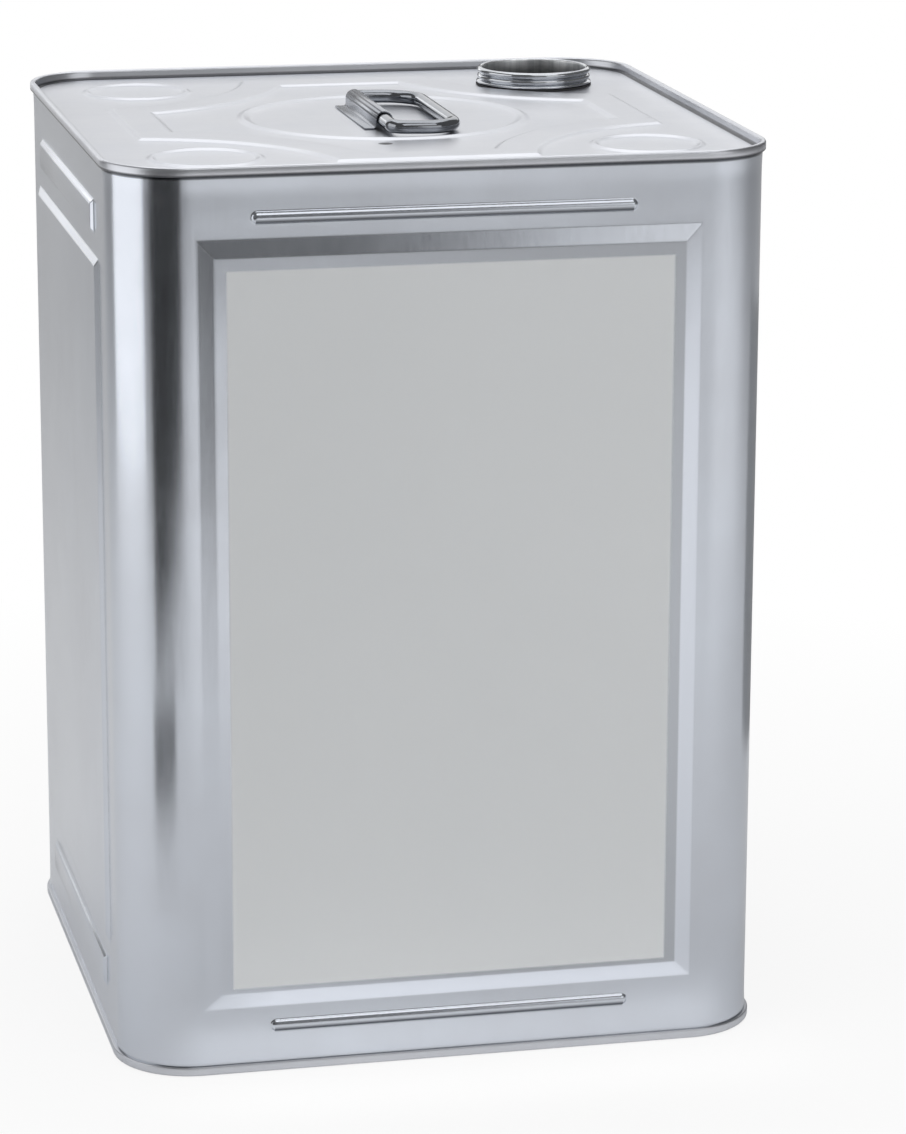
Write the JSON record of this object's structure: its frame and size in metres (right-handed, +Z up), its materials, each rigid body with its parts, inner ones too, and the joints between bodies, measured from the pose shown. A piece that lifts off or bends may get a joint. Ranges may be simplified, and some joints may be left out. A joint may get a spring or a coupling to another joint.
{
  "type": "square tin can",
  "caption": "Square tinplate can with double-seamed ends, pressed panels, a short open corner spout and a wire ring handle that folds flat on top.",
  "frame": {"origin": "centre of the can's footprint, on the plane its bottom seam stands on", "axes": "+Z up along the can's height, -Y out of the front face with the raised label panel, +X to the right face, the spout at the +X +Y corner of the top"},
  "size_m": [0.238, 0.238, 0.332],
  "materials": {
    "tinplate": "bare tinned steel sheet, satin to bright, fine rolling grain",
    "bright_wire": "bright plated round steel wire",
    "clip_steel": "bright tinned steel strip",
    "spout_steel": "bright tinned steel, turned and rolled",
    "sealing_compound": "dull seam sealing compound",
    "gasket_rubber": "dull black rubber"
  },
  "bodies": {
    "can": {"body_shell": "tinplate", "top_plate": "tinplate", "bottom_plate": "tinplate", "top_seam_compound": "sealing_compound", "bottom_seam_compound": "sealing_compound", "handle_clip": "clip_steel", "spout_neck": "spout_steel", "spout_gasket": "gasket_rubber"},
    "handle": {"handle_ring": "bright_wire"}
  },
  "joints": [
    {"name": "handle_swing", "type": "hinge", "parent": "can", "child": "handle", "pos_m": [-0.0053, 0, 0.3284], "axis": [0, -1, 0], "range_deg": [0, 180]}
  ]
}
